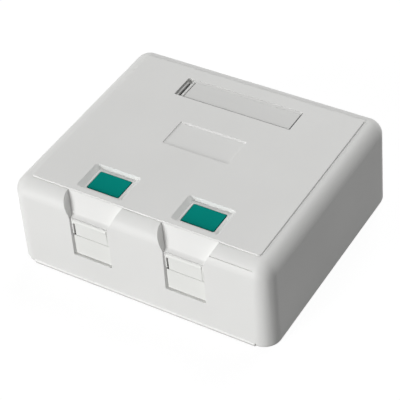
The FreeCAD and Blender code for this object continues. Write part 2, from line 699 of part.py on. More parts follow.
def make_jack_housing():
    half = JACK_WIDTH / 2
    top = BOARD_TOP + JACK_HEIGHT
    body = middle_box(half, JACK_FRONT, JACK_REAR, BOARD_TOP, top)
    long_edges = [e for e in top_edges(body, top)
                  if abs(e.Vertexes[0].Y - e.Vertexes[-1].Y) > NEAR]
    body = body.makeChamfer(JACK_EDGE, long_edges)
    ceiling = SOCKET_BOTTOM + SOCKET_HEIGHT
    latch_end = JACK_FRONT + LATCH_DEPTH
    latch_top = ceiling + LATCH_HEIGHT
    cuts = [
        middle_box(SOCKET_WIDTH / 2, JACK_FRONT, JACK_FRONT + SOCKET_DEPTH, SOCKET_BOTTOM, ceiling),
        middle_box(LATCH_WIDTH / 2, JACK_FRONT, latch_end, ceiling, latch_top),
        middle_box(LATCH_TOP_WIDTH / 2, JACK_FRONT, latch_end, latch_top,
                   latch_top + LATCH_TOP_HEIGHT),
    ]
    slot_half = CONTACT_WIDTH / 2 + CONTACT_SLOT_CLEARANCE
    slot_floor = SOCKET_BOTTOM - CONTACT_RAIL_DROP - CONTACT_THICKNESS / 2 - CONTACT_SLOT_CLEARANCE
    for x, tail_y in contact_places():
        rail_front = JACK_FRONT + CONTACT_BEND_BACK - CONTACT_THICKNESS - CONTACT_SLOT_CLEARANCE
        tail_half = CONTACT_THICKNESS / 2 + CONTACT_SLOT_CLEARANCE
        cuts.append(middle_box(slot_half, rail_front, tail_y + tail_half, slot_floor,
                               SOCKET_BOTTOM, x))
        cuts.append(middle_box(slot_half, tail_y - tail_half, tail_y + tail_half, BOARD_TOP,
                               SOCKET_BOTTOM, x))
    hook_front, hook_back = hook_span()
    hook_low, hook_high = hook_levels()
    for side in SIDES.values():
        inner = side * (half - HOOK_REACH - NOTCH_CLEARANCE + CRADLE_CLEARANCE)
        outer = side * (half + FAR)
        cuts.append(box(min(inner, outer), max(inner, outer), hook_front - NOTCH_CLEARANCE,
                        hook_back + NOTCH_CLEARANCE, hook_low - NOTCH_CLEARANCE,
                        hook_high + NOTCH_CLEARANCE))
    pegs = [post(PEG_RADIUS, x, y, BOARD_BOTTOM, BOARD_TOP) for x, y in peg_places()]
    return union([body.cut(cuts)] + pegs)


def strip(points, thickness, x, width):
    """Bent flat strip that follows points in Y and Z, with mitred bends."""
    half = thickness / 2
    left, right = [], []
    for index, (y, z) in enumerate(points):
        before = points[max(index - 1, 0)]
        after = points[min(index + 1, len(points) - 1)]
        normals = []
        for start, end in ((before, (y, z)), ((y, z), after)):
            length = math.hypot(end[0] - start[0], end[1] - start[1])
            if length > 0:
                normals.append((-(end[1] - start[1]) / length, (end[0] - start[0]) / length))
        ny = sum(n[0] for n in normals) / len(normals)
        nz = sum(n[1] for n in normals) / len(normals)
        scale = half / (ny * ny + nz * nz)
        left.append((y + ny * scale, z + nz * scale))
        right.append((y - ny * scale, z - nz * scale))
    return profile_yz(left + right[::-1], x - width / 2, x + width / 2)


def make_contacts():
    rail_z = SOCKET_BOTTOM - CONTACT_RAIL_DROP
    bend_y = JACK_FRONT + CONTACT_BEND_BACK
    tip = (JACK_FRONT + CONTACT_TIP_BACK, SOCKET_BOTTOM + CONTACT_TIP_RISE)
    wires = []
    for x, tail_y in contact_places():
        route = [
            (tail_y, TAIL_BOTTOM),
            (tail_y, rail_z),
            (bend_y + CONTACT_BEND_HEIGHT / 2, rail_z),
            (bend_y, rail_z + CONTACT_BEND_HEIGHT / 2),
            (bend_y + CONTACT_BEND_HEIGHT / 2, rail_z + CONTACT_BEND_HEIGHT),
            tip,
        ]
        wires.append(strip(route, CONTACT_THICKNESS, x, CONTACT_WIDTH))
    return Part.makeCompound(wires)


def terminal_places():
    """Side, X of the blade and Y of each terminal."""
    middle = (BLOCK_FRONT + BLOCK_REAR) / 2
    first = middle - (TERMINALS_PER_ROW - 1) / 2 * TERMINAL_PITCH
    for side in SIDES.values():
        for index in range(TERMINALS_PER_ROW):
            yield side, side * BLADE_OFFSET, first + index * TERMINAL_PITCH


def make_board():
    board = middle_box(BOARD_HALF, BOARD_FRONT, BOARD_REAR, BOARD_BOTTOM, BOARD_TOP)
    holes = []
    for x, tail_y in contact_places():
        half = CONTACT_THICKNESS / 2 + BOARD_HOLE_CLEARANCE
        holes.append(middle_box(CONTACT_WIDTH / 2 + BOARD_HOLE_CLEARANCE, tail_y - half,
                                tail_y + half, BOARD_BOTTOM, BOARD_TOP, x))
    for x, y in peg_places():
        holes.append(post(PEG_RADIUS + PEG_CLEARANCE, x, y, BOARD_BOTTOM, BOARD_TOP))
    for _, x, y in terminal_places():
        half = BLADE_TAIL_WIDTH / 2 + BOARD_HOLE_CLEARANCE
        holes.append(middle_box(BLADE_THICKNESS / 2 + BOARD_HOLE_CLEARANCE, y - half, y + half,
                                BOARD_BOTTOM, BOARD_TOP, x))
    return board.cut(holes)


def make_terminal_block():
    half = BLOCK_WIDTH / 2
    block = middle_box(half, BLOCK_FRONT, BLOCK_REAR, BOARD_TOP, BLOCK_TOP)
    cuts = [middle_box(TROUGH_WIDTH / 2, BLOCK_FRONT, BLOCK_REAR, BOARD_TOP + TROUGH_FLOOR,
                       BLOCK_TOP)]
    pocket_half_x = BLADE_THICKNESS / 2 + BLADE_CLEARANCE
    pocket_half_y = BLADE_WIDTH / 2 + BLADE_CLEARANCE
    tail_half_y = BLADE_TAIL_WIDTH / 2 + BLADE_CLEARANCE
    foot = BOARD_TOP + BLADE_FOOT
    for side, x, y in terminal_places():
        outer = side * half
        cuts.append(box(min(0, outer), max(0, outer), y - TERMINAL_SLOT / 2,
                        y + TERMINAL_SLOT / 2, BOARD_TOP + TERMINAL_SLOT_FLOOR, BLOCK_TOP))
        cuts.append(middle_box(pocket_half_x, y - pocket_half_y, y + pocket_half_y, foot,
                               BLOCK_TOP, x))
        cuts.append(middle_box(pocket_half_x, y - tail_half_y, y + tail_half_y, BOARD_TOP,
                               foot, x))
    return block.cut(cuts)


def make_blades():
    foot = BOARD_TOP + BLADE_FOOT
    top = BLOCK_TOP - BLADE_TOP_DROP
    blades = []
    for _, x, y in terminal_places():
        plate = middle_box(BLADE_THICKNESS / 2, y - BLADE_WIDTH / 2, y + BLADE_WIDTH / 2,
                           foot, top, x)
        tail = middle_box(BLADE_THICKNESS / 2, y - BLADE_TAIL_WIDTH / 2,
                          y + BLADE_TAIL_WIDTH / 2, TAIL_BOTTOM, foot, x)
        slit = middle_box(BLADE_THICKNESS, y - BLADE_SLIT / 2, y + BLADE_SLIT / 2,
                          BOARD_TOP + TERMINAL_SLOT_FLOOR, top, x)
        blades.append(union([plate, tail]).cut(slit))
    return Part.makeCompound(blades)


def make_wire_cap():
    inner = BLOCK_WIDTH / 2 + CAP_SIDE_CLEARANCE
    outer = inner + CAP_SKIRT
    top = BLOCK_TOP + CAP_THICKNESS
    skirt_bottom = BLOCK_TOP - CAP_SKIRT_LENGTH
    shell = middle_box(outer, BLOCK_FRONT, BLOCK_REAR, skirt_bottom, top)
    room = middle_box(inner, BLOCK_FRONT, BLOCK_REAR, skirt_bottom, BLOCK_TOP)
    slots = []
    ribs = []
    for side, x, y in terminal_places():
        skirt = side * outer
        slots.append(box(min(0, skirt), max(0, skirt), y - CAP_SLOT / 2, y + CAP_SLOT / 2,
                         skirt_bottom, skirt_bottom + CAP_SLOT_HEIGHT))
        for step in (-1, 1):
            ribs.append(middle_box(CAP_RIB_LENGTH / 2, y - CAP_RIB_WIDTH / 2,
                                   y + CAP_RIB_WIDTH / 2, BLOCK_TOP - CAP_RIB_DROP, BLOCK_TOP,
                                   x + step * (CAP_RIB_LENGTH / 2 + BLADE_THICKNESS)))
    return union([shell.cut([room] + slots)] + ribs)


def snap_finger(side):
    """Side wall of a cradle with its snap finger and hook."""
    inner = JACK_WIDTH / 2 + CRADLE_CLEARANCE
    outer = inner + CRADLE_WALL
    front = JACK_FRONT + CRADLE_FRONT_BACK
    hook_front, hook_back = hook_span()
    hook_low, hook_high = hook_levels()
    wall = middle_box(CRADLE_WALL / 2, front, BOARD_REAR - CRADLE_REAR_SHORT, FLOOR_THICKNESS,
                      FLOOR_THICKNESS + CRADLE_HEIGHT, side * (inner + CRADLE_WALL / 2))
    finger = middle_box(CRADLE_WALL / 2, hook_front, hook_back, FLOOR_THICKNESS,
                        FLOOR_THICKNESS + FINGER_HEIGHT, side * (inner + CRADLE_WALL / 2))
    hook = profile_xz([(side * inner, hook_low), (side * (inner - HOOK_REACH), hook_low),
                       (side * (inner - HOOK_REACH), hook_low + HOOK_HEIGHT / 2),
                       (side * inner, hook_high), (side * outer, hook_high),
                       (side * outer, hook_low)], hook_front, hook_back)
    return [wall, finger, hook]


def make_cradle(x):
    """Walls, seat ribs and rear stop that hold one jack."""
    pieces = snap_finger(-1) + snap_finger(1)
    for back, width in ((SEAT_RIB_FRONT_BACK, SEAT_RIB_FRONT_WIDTH),
                        (SEAT_RIB_REAR_BACK, SEAT_RIB_REAR_WIDTH)):
        rib_y = JACK_FRONT + back
        pieces.append(middle_box(width / 2, rib_y, rib_y + SEAT_RIB_LENGTH, FLOOR_THICKNESS,
                                 BOARD_BOTTOM))
    stop_y = BOARD_REAR + CRADLE_CLEARANCE
    pieces.append(middle_box(STOP_WIDTH / 2, stop_y, stop_y + STOP_LENGTH, FLOOR_THICKNESS,
                             FLOOR_THICKNESS + STOP_HEIGHT))
    return [moved(piece, x) for piece in pieces]


def make_screw_post(x):
    """Post for a cover screw, with two gussets."""
    column = post(POST_RADIUS, x, COVER_SCREW_Y, FLOOR_THICKNESS, POST_TOP)
    top = FLOOR_THICKNESS + GUSSET_HEIGHT
    reach = POST_RADIUS + GUSSET_REACH
    outline = [(x - reach, FLOOR_THICKNESS), (x + reach, FLOOR_THICKNESS), (x, top)]
    half = GUSSET_THICKNESS / 2
    return [column, profile_xz(outline, COVER_SCREW_Y - half, COVER_SCREW_Y + half)]


def make_tie_bridge(x):
    half = TIE_BRIDGE_WIDTH / 2
    back = TIE_BRIDGE_Y + TIE_BRIDGE_LENGTH
    top = FLOOR_THICKNESS + TIE_BRIDGE_HEIGHT
    bridge = middle_box(half, TIE_BRIDGE_Y, back, FLOOR_THICKNESS, top, x)
    gap = middle_box(half - TIE_BRIDGE_FOOT, TIE_BRIDGE_Y, back, FLOOR_THICKNESS,
                     top - TIE_BRIDGE_BAR, x)
    return bridge.cut(gap)


def make_base_plate():
    inset = FLANGE_INSET
    flange = rounded_prism(HALF_X - inset, HALF_Y - inset, FOOT_CORNER - inset, 0,
                           FLANGE_THICKNESS)
    rim = WALL + RIM_CLEARANCE + (FLANGE_THICKNESS + RIM_RISE) * SLOPE
    rim_outer = rounded_prism(HALF_X - rim, HALF_Y - rim, CORNER_RADIUS - WALL, 0,
                              FLANGE_THICKNESS + RIM_RISE)
    inner = rim + RIM_WALL
    rim_inner = rounded_prism(HALF_X - inner, HALF_Y - inner, CORNER_RADIUS - WALL - RIM_WALL,
                              FLOOR_THICKNESS, FLANGE_THICKNESS + RIM_RISE + FAR)
    pieces = [flange, rim_outer.cut(rim_inner)]
    holes = [rounded_prism(CABLE_HOLE_WIDTH / 2, CABLE_HOLE_LENGTH / 2, CABLE_HOLE_CORNER,
                           -FAR, FLOOR_THICKNESS + FAR, 0, CABLE_HOLE_Y)]
    for side in SIDES.values():
        x = side * WALL_SCREW_SPACING / 2
        top = FLOOR_THICKNESS + WALL_SCREW_PAD_RISE
        pieces.append(post(WALL_SCREW_PAD_RADIUS, x, WALL_SCREW_Y, 0, top))
        holes.append(post(WALL_SCREW_HOLE_RADIUS, x, WALL_SCREW_Y, -FAR, top + FAR))
    for x in port_centres().values():
        pieces += make_cradle(x)
        pieces.append(make_tie_bridge(x))
    for x in cover_screw_centres().values():
        pieces += make_screw_post(x)
        bore = SCREW_SHANK_RADIUS + SCREW_THREAD_CLEARANCE
        bore_floor = SCREW_SEAT_Z - SCREW_LENGTH - POST_BORE_SPARE
        holes.append(post(bore, x, COVER_SCREW_Y, bore_floor, POST_TOP))
    return union(pieces).cut(holes)


def main():
    os.makedirs("parts", exist_ok=True)
    save("base_plate", make_base_plate())
    save("cover", make_cover())
    save("label_card", make_label_card())
    save("label_window", make_label_window())
    per_port = {
        "dust_flap": make_flap(),
        "icon_insert": make_icon(),
        "jack_housing": make_jack_housing(),
        "jack_contacts": make_contacts(),
        "jack_board": make_board(),
        "terminal_block": make_terminal_block(),
        "terminal_blades": make_blades(),
        "wire_cap": make_wire_cap(),
    }
    for side, x in port_centres().items():
        for name, shape in per_port.items():
            save(f"{name}_{side}", moved(shape, x))
    for side, x in cover_screw_centres().items():
        save(f"cover_screw_{side}", moved(make_cover_screw(), x))


main()
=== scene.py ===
"""Dresses the surface mount jack box: finishes, softened edges, small parts, light and camera."""

import json
import logging
import math
from dataclasses import dataclass, field
from enum import Enum
from typing import Optional, Protocol, Sequence

import bmesh
import bpy
from mathutils import Matrix, Vector

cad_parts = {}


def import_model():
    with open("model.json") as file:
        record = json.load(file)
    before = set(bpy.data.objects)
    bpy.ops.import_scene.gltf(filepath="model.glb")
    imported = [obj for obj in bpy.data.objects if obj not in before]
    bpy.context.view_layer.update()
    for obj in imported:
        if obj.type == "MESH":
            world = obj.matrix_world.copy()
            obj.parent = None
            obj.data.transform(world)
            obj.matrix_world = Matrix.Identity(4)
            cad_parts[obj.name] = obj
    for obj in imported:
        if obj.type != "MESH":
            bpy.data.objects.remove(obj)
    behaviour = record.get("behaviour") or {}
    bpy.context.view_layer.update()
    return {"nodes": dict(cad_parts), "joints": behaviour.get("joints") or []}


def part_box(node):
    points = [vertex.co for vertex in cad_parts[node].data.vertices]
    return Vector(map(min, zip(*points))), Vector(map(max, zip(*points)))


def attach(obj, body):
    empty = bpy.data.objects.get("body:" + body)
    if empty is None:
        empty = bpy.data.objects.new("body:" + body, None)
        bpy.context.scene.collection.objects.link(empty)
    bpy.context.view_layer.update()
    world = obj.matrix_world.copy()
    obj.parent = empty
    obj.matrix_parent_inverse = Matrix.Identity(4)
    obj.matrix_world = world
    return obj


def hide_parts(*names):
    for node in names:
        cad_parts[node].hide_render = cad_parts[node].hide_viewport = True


MM = 0.001
LOG = logging.getLogger("jack_box")
WHITE = (1.0, 1.0, 1.0, 1.0)

# What a wave texture turns through in one unit, at a scale of 1.
WAVE_RADIANS = 20.0

# No two wires of a jack end in one cell of this size.
WIRE_CELL = (1.0 * MM, 0.8 * MM)

Colour = tuple[float, float, float]
Point = tuple[float, float, float]
Band = tuple[float, float]
Corner = tuple[float, float]
Outline = Sequence[Corner]
Nodes = dict[str, bpy.types.Object]
Pieces = list[bpy.types.Object]


class Side(Enum):
    """The two ports, named as seen from in front."""

    LEFT = "left"
    RIGHT = "right"


class NodeDraft:
    """A material's node tree that is being drawn up."""

    def __init__(self, name: str) -> None:
        """Start an empty material with its output.

        Args:
            name: the material's name.
        """
        self.material = bpy.data.materials.new(name)
        self.material.use_nodes = True
        self.tree = self.material.node_tree
        self.tree.nodes.clear()
        self.output = self.add("ShaderNodeOutputMaterial")

    def add(self, kind: str, values: Optional[dict[str, object]] = None,
            **settings: object) -> bpy.types.Node:
        """Add a node.

        Args:
            kind: the node's type.
            values: the constant of each named input socket.
            settings: properties of the node itself.

        Returns:
            The new node.
        """
        node = self.tree.nodes.new(kind)
        for key, value in settings.items():
            setattr(node, key, value)
        for key, value in (values or {}).items():
            node.inputs[key].default_value = value
        return node

    def link(self, source: bpy.types.NodeSocket, target: bpy.types.NodeSocket) -> None:
        """Join two sockets."""
        self.tree.links.new(source, target)

    def noise(self, size: float, detail: float, stretch: Point = (1.0, 1.0, 1.0)) -> bpy.types.Node:
        """Add noise in the object's own space.

        Args:
            size: the length of one blotch in metres.
            detail: the number of finer layers.
            stretch: how much each axis is squeezed.

        Returns:
            The noise node.
        """
        place = self.add("ShaderNodeTexCoord")
        mapping = self.add("ShaderNodeMapping", {"Scale": stretch})
        self.link(place.outputs["Object"], mapping.inputs["Vector"])
        noise = self.add("ShaderNodeTexNoise", {"Scale": 1.0 / size, "Detail": detail})
        self.link(mapping.outputs["Vector"], noise.inputs["Vector"])
        return noise

    def tones(self, source: bpy.types.NodeSocket, low: Colour, high: Colour,
              band: Band) -> bpy.types.NodeSocket:
        """Run from one colour to another as a value rises.

        Args:
            source: the value.
            low: the colour at the lower end of the band.
            high: the colour at its upper end.
            band: the two values between which the colour changes.

        Returns:
            The socket of the colour.
        """
        ramp = self.add("ShaderNodeValToRGB")
        for element, place, colour in zip(ramp.color_ramp.elements, band, (low, high)):
            element.position = place
            element.color = (*colour, 1.0)
        self.link(source, ramp.inputs["Fac"])
        return ramp.outputs["Color"]

    def spread(self, source: bpy.types.NodeSocket, low: float, high: float) -> bpy.types.NodeSocket:
        """Stretch a value that runs from 0 to 1.

        Args:
            source: the value.
            low: what 0 becomes.
            high: what 1 becomes.

        Returns:
            The socket of the stretched value.
        """
        node = self.add("ShaderNodeMapRange", {"To Min": low, "To Max": high})
        self.link(source, node.inputs["Value"])
        return node.outputs["Result"]

    def relief(self, source: bpy.types.NodeSocket, height: float,
               under: Optional[bpy.types.NodeSocket] = None) -> bpy.types.NodeSocket:
        """Turn a value into fine relief.

        Args:
            source: the value, 0 in the hollows and 1 on the crests.
            height: how high the crests stand, in metres.
            under: the normal that the relief lies on, if it isn't the plain surface's.

        Returns:
            The socket of the normal.
        """
        node = self.add("ShaderNodeBump", {"Strength": 1.0, "Distance": height})
        self.link(source, node.inputs["Height"])
        if under is not None:
            self.link(under, node.inputs["Normal"])
        return node.outputs["Normal"]

    def finish(self, shader: bpy.types.Node) -> bpy.types.Material:
        """Join a shader to the output and return the material."""
        self.link(shader.outputs[0], self.output.inputs["Surface"])
        return self.material


def tinted(colour: Colour, factor: float) -> Colour:
    """Return a colour made lighter or darker by a factor."""
    return tuple(min(channel * factor, 1.0) for channel in colour)


@dataclass(frozen=True)
class MouldedPlastic:
    """Opaque moulded plastic with a fine spark-eroded grain and softened edges."""

    name: str
    colour: Colour
    roughness: float = 0.42
    roughness_change: float = 0.05
    grain_size: float = 0.35 * MM
    grain_detail: float = 2.0
    grain_height: float = 0.010 * MM
    sink_size: float = 14.0 * MM
    sink_detail: float = 1.0
    sink_height: float = 0.020 * MM
    tone_size: float = 22.0 * MM
    tone_detail: float = 3.0
    tone_change: float = 0.015
    tone_band: Band = (0.3, 0.7)
    edge_radius: float = 0.12 * MM
    edge_samples: int = 6
    coat: float = 0.0
    coat_roughness: float = 0.2
    specular: float = 0.5
    refraction: float = 1.49

    def material(self) -> bpy.types.Material:
        """Build the material.

        Returns:
            The finished material.
        """
        draft = NodeDraft(self.name)
        shader = draft.add("ShaderNodeBsdfPrincipled", {"IOR": self.refraction,
                                                        "Coat Weight": self.coat,
                                                        "Coat Roughness": self.coat_roughness,
                                                        "Specular IOR Level": self.specular})
        tone = draft.noise(self.tone_size, self.tone_detail)
        colour = draft.tones(tone.outputs["Fac"], tinted(self.colour, 1.0 - self.tone_change),
                             tinted(self.colour, 1.0 + self.tone_change), self.tone_band)
        draft.link(colour, shader.inputs["Base Color"])
        grain = draft.noise(self.grain_size, self.grain_detail)
        gloss = draft.spread(grain.outputs["Fac"], self.roughness - self.roughness_change,
                             self.roughness + self.roughness_change)
        draft.link(gloss, shader.inputs["Roughness"])
        edge = draft.add("ShaderNodeBevel", {"Radius": self.edge_radius}, samples=self.edge_samples)
        sink = draft.noise(self.sink_size, self.sink_detail)
        waves = draft.relief(sink.outputs["Fac"], self.sink_height, edge.outputs["Normal"])
        skin = draft.relief(grain.outputs["Fac"], self.grain_height, waves)
        draft.link(skin, shader.inputs["Normal"])
        return draft.finish(shader)


@dataclass(frozen=True)
class MilkyPlastic:
    """Thin milky plastic that lets the card under it show faintly."""

    name: str
    colour: Colour
    alpha: float = 0.93
    refraction: float = 1.49
    roughness: float = 0.42
    gloss_factor: float = 0.7
    dull_factor: float = 1.6
    haze_size: float = 6.0 * MM
    haze_detail: float = 4.0
    haze_stretch: Point = (1.0, 3.0, 1.0)
    haze_height: float = 0.008 * MM
    haze_tone: float = 0.98
    haze_band: Band = (0.3, 0.7)

    def material(self) -> bpy.types.Material:
        """Build the material.

        Returns:
            The finished material.
        """
        draft = NodeDraft(self.name)
        shader = draft.add("ShaderNodeBsdfPrincipled", {"IOR": self.refraction, "Alpha": self.alpha})
        haze = draft.noise(self.haze_size, self.haze_detail, self.haze_stretch).outputs["Fac"]
        gloss = draft.spread(haze, self.roughness * self.gloss_factor,
                             self.roughness * self.dull_factor)
        draft.link(gloss, shader.inputs["Roughness"])
        colour = draft.tones(haze, tinted(self.colour, self.haze_tone), self.colour, self.haze_band)
        draft.link(colour, shader.inputs["Base Color"])
        draft.link(draft.relief(haze, self.haze_height), shader.inputs["Normal"])
        return draft.finish(shader)


@dataclass(frozen=True)
class CardPaper:
    """Smooth matt card with short fibres."""

    name: str
    colour: Colour
    specular: float = 0.2
    least_roughness: float = 0.75
    most_roughness: float = 0.9
    fibre_size: float = 0.18 * MM
    fibre_detail: float = 3.0
    fibre_stretch: Point = (1.0, 4.0, 1.0)
    fibre_height: float = 0.006 * MM
    fibre_tone: float = 0.97
    fibre_band: Band = (0.3, 0.7)

    def material(self) -> bpy.types.Material:
        """Build the material.

        Returns:
            The finished material.
        """
        draft = NodeDraft(self.name)
        shader = draft.add("ShaderNodeBsdfPrincipled", {"Specular IOR Level": self.specular})
        fibre = draft.noise(self.fibre_size, self.fibre_detail, self.fibre_stretch).outputs["Fac"]
        colour = draft.tones(fibre, tinted(self.colour, self.fibre_tone), self.colour, self.fibre_band)
        draft.link(colour, shader.inputs["Base Color"])
        draft.link(draft.spread(fibre, self.least_roughness, self.most_roughness),
                   shader.inputs["Roughness"])
        draft.link(draft.relief(fibre, self.fibre_height), shader.inputs["Normal"])
        return draft.finish(shader)


@dataclass(frozen=True)
class PlatedMetal:
    """Plated or drawn metal with fine lines along one axis and small stains."""

    name: str
    colour: Colour
    roughness: float = 0.25
    gloss_factor: float = 0.7
    dull_factor: float = 1.5
    line_stretch: Point = (1.0, 1.0, 12.0)
    line_size: float = 0.5 * MM
    line_detail: float = 4.0
    line_height: float = 0.003 * MM
    stain_size: float = 2.5 * MM
    stain_detail: float = 3.0
    stain_tone: float = 0.85
    stain_band: Band = (0.35, 0.65)

    def material(self) -> bpy.types.Material:
        """Build the material.

        Returns:
            The finished material.
        """
        draft = NodeDraft(self.name)
        shader = draft.add("ShaderNodeBsdfPrincipled", {"Metallic": 1.0})
        lines = draft.noise(self.line_size, self.line_detail, self.line_stretch).outputs["Fac"]
        stain = draft.noise(self.stain_size, self.stain_detail).outputs["Fac"]
        colour = draft.tones(stain, tinted(self.colour, self.stain_tone), self.colour, self.stain_band)
        draft.link(colour, shader.inputs["Base Color"])
        gloss = draft.spread(lines, self.roughness * self.gloss_factor,
                             self.roughness * self.dull_factor)
        draft.link(gloss, shader.inputs["Roughness"])
        draft.link(draft.relief(lines, self.line_height), shader.inputs["Normal"])
        return draft.finish(shader)


@dataclass(frozen=True)
class BoardLaminate:
    """Green lacquered board with the weave of the glass cloth under the lacquer."""

    name: str
    colour: Colour
    roughness: float = 0.25
    lacquer: float = 0.5
    refraction: float = 1.5
    weave_radian: float = 0.45 * MM
    weave_waver: float = 0.6
    weave_height: float = 0.01 * MM
    weave_band: Band = (0.2, 0.8)
    dark_tone: float = 0.8
    pale_tone: float = 1.25

    def material(self) -> bpy.types.Material:
        """Build the material.

        Returns:
            The finished material.
        """
        draft = NodeDraft(self.name)
        shader = draft.add("ShaderNodeBsdfPrincipled", {"IOR": self.refraction,
                                                        "Roughness": self.roughness,
                                                        "Coat Weight": self.lacquer})
        place = draft.add("ShaderNodeTexCoord")
        cloth = draft.add("ShaderNodeMath", operation="MULTIPLY")
        for thread, axis in enumerate(("X", "Y")):
            wave = draft.add("ShaderNodeTexWave", {"Scale": 1.0 / (WAVE_RADIANS * self.weave_radian),
                                                   "Distortion": self.weave_waver},
                             bands_direction=axis)
            draft.link(place.outputs["Object"], wave.inputs["Vector"])
            draft.link(wave.outputs["Fac"], cloth.inputs[thread])
        weave = cloth.outputs["Value"]
        colour = draft.tones(weave, tinted(self.colour, self.dark_tone),
                             tinted(self.colour, self.pale_tone), self.weave_band)
        draft.link(colour, shader.inputs["Base Color"])
        draft.link(draft.relief(weave, self.weave_height), shader.inputs["Normal"])
        return draft.finish(shader)


def dress(piece: bpy.types.Object, material: bpy.types.Material) -> None:
    """Give a piece one material in place of all it had."""
    piece.data.materials.clear()
    piece.data.materials.append(material)


def smooth(piece: bpy.types.Object, angle_deg: float = 28.0) -> None:
    """Shade a piece smooth, apart from the edges that turn by more than an angle.

    Args:
        piece: the mesh object.
        angle_deg: the least turn that stays crisp.
    """
    mesh = piece.data
    mesh.polygons.foreach_set("use_smooth", [True] * len(mesh.polygons))
    mesh.set_sharp_from_angle(angle=math.radians(angle_deg))


def mesh_object(name: str, sheet: bmesh.types.BMesh) -> bpy.types.Object:
    """Turn a bmesh into an object in the scene.

    Args:
        name: the object's name.
        sheet: the bmesh, which is freed.

    Returns:
        The new object.
    """
    mesh = bpy.data.meshes.new(name)
    sheet.to_mesh(mesh)
    sheet.free()
    piece = bpy.data.objects.new(name, mesh)
    bpy.context.scene.collection.objects.link(piece)
    return piece


def apply_modifiers(piece: bpy.types.Object) -> None:
    """Replace a piece's mesh by the result of its modifiers.

    Args:
        piece: the piece, which keeps its name and place.
    """
    graph = bpy.context.evaluated_depsgraph_get()
    made = bpy.data.meshes.new_from_object(piece.evaluated_get(graph))
    piece.modifiers.clear()
    piece.data = made


@dataclass
class SoftenedCopy:
    """A copy of a CAD node whose sharp edges are rounded as a mould rounds them."""

    node: str
    body: str
    slot: str
    radius: float
    segments: int = 3
    angle_deg: float = 30.0
    flat_deg: float = 0.4
    merge: float = 0.002 * MM
    flat_weight: int = 100

    def build(self, source: bpy.types.Object, material: bpy.types.Material) -> bpy.types.Object:
        """Make the copy, and have it stand for the node.

        Args:
            source: the CAD node's object.
            material: the finish of the copy.

        Returns:
            The softened piece.
        """
        sheet = bmesh.new()
        sheet.from_mesh(source.data)
        bmesh.ops.remove_doubles(sheet, verts=sheet.verts, dist=self.merge)
        bmesh.ops.dissolve_limit(sheet, angle_limit=math.radians(self.flat_deg),
                                 verts=sheet.verts, edges=sheet.edges)
        piece = mesh_object(self.node + "_soft", sheet)
        dress(piece, material)
        smooth(piece, self.angle_deg)
        bevel = piece.modifiers.new("edges", "BEVEL")
        bevel.width = self.radius
        bevel.segments = self.segments
        bevel.limit_method = "ANGLE"
        bevel.angle_limit = math.radians(self.angle_deg)
        bevel.use_clamp_overlap = True
        bevel.harden_normals = True
        flats = piece.modifiers.new("flats", "WEIGHTED_NORMAL")
        flats.mode = "FACE_AREA"
        flats.weight = self.flat_weight
        flats.keep_sharp = True
        apply_modifiers(piece)
        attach(piece, self.body)
        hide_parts(self.node)
        return piece


def drawn_out(name: str, outline: Outline, x0: float, x1: float) -> bpy.types.Object:
    """Make a bar from a closed outline in Y and Z.

    Args:
        name: the object's name.
        outline: the corners, in order round the outline.
        x0: where the bar starts.
        x1: where it ends.

    Returns:
        The new object.
    """
    sheet = bmesh.new()
    ends = [[sheet.verts.new((x, y, z)) for y, z in outline] for x in (x0, x1)]
    for corner in range(len(outline)):
        after = (corner + 1) % len(outline)
        sheet.faces.new((ends[0][corner], ends[0][after], ends[1][after], ends[1][corner]))
    for end in ends:
        sheet.faces.new(end)
    bmesh.ops.recalc_face_normals(sheet, faces=sheet.faces)
    return mesh_object(name, sheet)


def lay(piece: bpy.types.Object, material: bpy.types.Material, body: str) -> bpy.types.Object:
    """Dress a piece and have it ride a body.

    Args:
        piece: the piece.
        material: its finish.
        body: the body that it moves with.

    Returns:
        The same piece.
    """
    dress(piece, material)
    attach(piece, body)
    return piece


def bar(name: str, low: Point, high: Point) -> bpy.types.Object:
    """Make a straight bar between two corners."""
    outline = ((low[1], low[2]), (high[1], low[2]), (high[1], high[2]), (low[1], high[2]))
    return drawn_out(name, outline, low[0], high[0])


